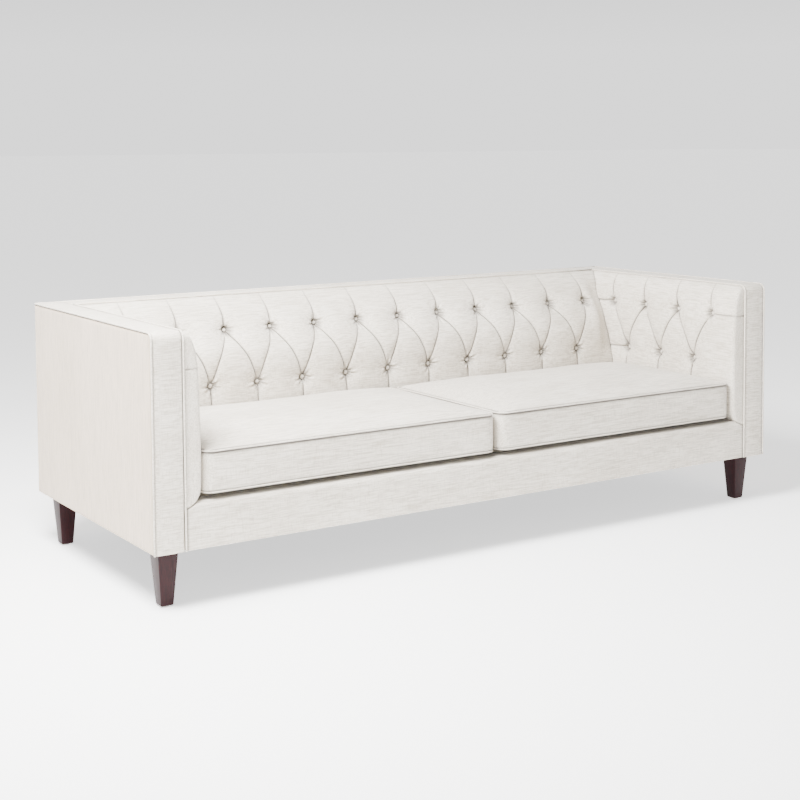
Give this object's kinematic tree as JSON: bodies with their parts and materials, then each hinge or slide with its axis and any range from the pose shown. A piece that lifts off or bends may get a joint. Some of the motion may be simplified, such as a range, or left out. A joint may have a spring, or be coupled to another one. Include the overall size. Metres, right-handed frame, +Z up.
{
  "type": "tuxedo sofa",
  "caption": "Tuxedo sofa: arms and back at one height, button-tufted inside, with loose box seat cushions, welted edges and tapered wooden legs, for sitting on.",
  "frame": {"origin": "on the floor under the middle of the sofa (bottom centre of its bounding box)", "axes": "+X along the sofa to the right of someone facing its front, +Y to its back, +Z up"},
  "size_m": [2.29, 0.902, 0.76],
  "materials": {
    "ivory_linen": "slubbed linen-look weave",
    "beige_linen": "slubbed linen-look weave",
    "wood_frame": "planed",
    "dark_leg_wood": "satin lacquer",
    "spring_steel": "oiled",
    "webbing": "woven jute",
    "foam": "open-cell foam",
    "black_cloth": "non-woven",
    "zip_plastic": "moulded",
    "zip_metal": "nickel plated",
    "nylon": "moulded"
  },
  "bodies": {
    "left_cushion": {"left_cushion_bottom_welt": "ivory_linen", "left_cushion_core": "foam", "left_cushion_cover": "ivory_linen", "left_cushion_top_welt": "ivory_linen", "left_cushion_zip": "zip_plastic"},
    "right_cushion": {"right_cushion_bottom_welt": "ivory_linen", "right_cushion_core": "foam", "right_cushion_cover": "ivory_linen", "right_cushion_top_welt": "ivory_linen", "right_cushion_zip": "zip_plastic"},
    "left_zip_slider": {"left_zip_slider": "zip_metal"},
    "right_zip_slider": {"right_zip_slider": "zip_metal"},
    "frame": {"back_bottom_rail": "wood_frame", "back_buttons": "ivory_linen", "back_inner_welt": "ivory_linen", "back_outer_welt": "ivory_linen", "back_top_band": "ivory_linen", "back_top_rail": "wood_frame", "back_uprights": "wood_frame", "back_webbing": "webbing", "corner_blocks": "wood_frame", "deck_pad": "ivory_linen", "dust_cover": "black_cloth", "front_border": "ivory_linen", "front_left_leg": "dark_leg_wood", "front_rail": "wood_frame", "front_right_leg": "dark_leg_wood", "inside_back_pad": "ivory_linen", "left_arm_backing": "wood_frame", "left_arm_band": "ivory_linen", "left_arm_buttons": "ivory_linen", "left_arm_inner_welt": "ivory_linen", "left_arm_outer_welt": "ivory_linen", "left_arm_top_rail": "wood_frame", "left_front_post": "wood_frame", "left_inside_arm_pad": "ivory_linen", "left_outside_arm_panel": "beige_linen", "left_rear_post": "wood_frame", "left_side_rail": "wood_frame", "leg_bolts": "spring_steel", "leg_glides": "nylon", "leg_nuts": "spring_steel", "outside_back_panel": "beige_linen", "rear_left_leg": "dark_leg_wood", "rear_right_leg": "dark_leg_wood", "right_arm_backing": "wood_frame", "right_arm_band": "ivory_linen", "right_arm_buttons": "ivory_linen", "right_arm_inner_welt": "ivory_linen", "right_arm_outer_welt": "ivory_linen", "right_arm_top_rail": "wood_frame", "right_front_post": "wood_frame", "right_inside_arm_pad": "ivory_linen", "right_outside_arm_panel": "beige_linen", "right_rear_post": "wood_frame", "right_side_rail": "wood_frame", "seat_stretcher": "wood_frame", "sinuous_springs": "spring_steel", "spring_clips": "spring_steel", "spring_rail": "wood_frame"}
  },
  "joints": [
    {"name": "left_cushion_lift", "type": "slide", "parent": "frame", "child": "left_cushion", "axis": [0, 0, 1], "range_m": [0, 0.3]},
    {"name": "left_zip_pull", "type": "slide", "parent": "left_cushion", "child": "left_zip_slider", "axis": [1, 0, 0], "range_m": [0, 0.82]},
    {"name": "right_cushion_lift", "type": "slide", "parent": "frame", "child": "right_cushion", "axis": [0, 0, 1], "range_m": [0, 0.3]},
    {"name": "right_zip_pull", "type": "slide", "parent": "right_cushion", "child": "right_zip_slider", "axis": [-1, 0, 0], "range_m": [0, 0.82]}
  ]
}
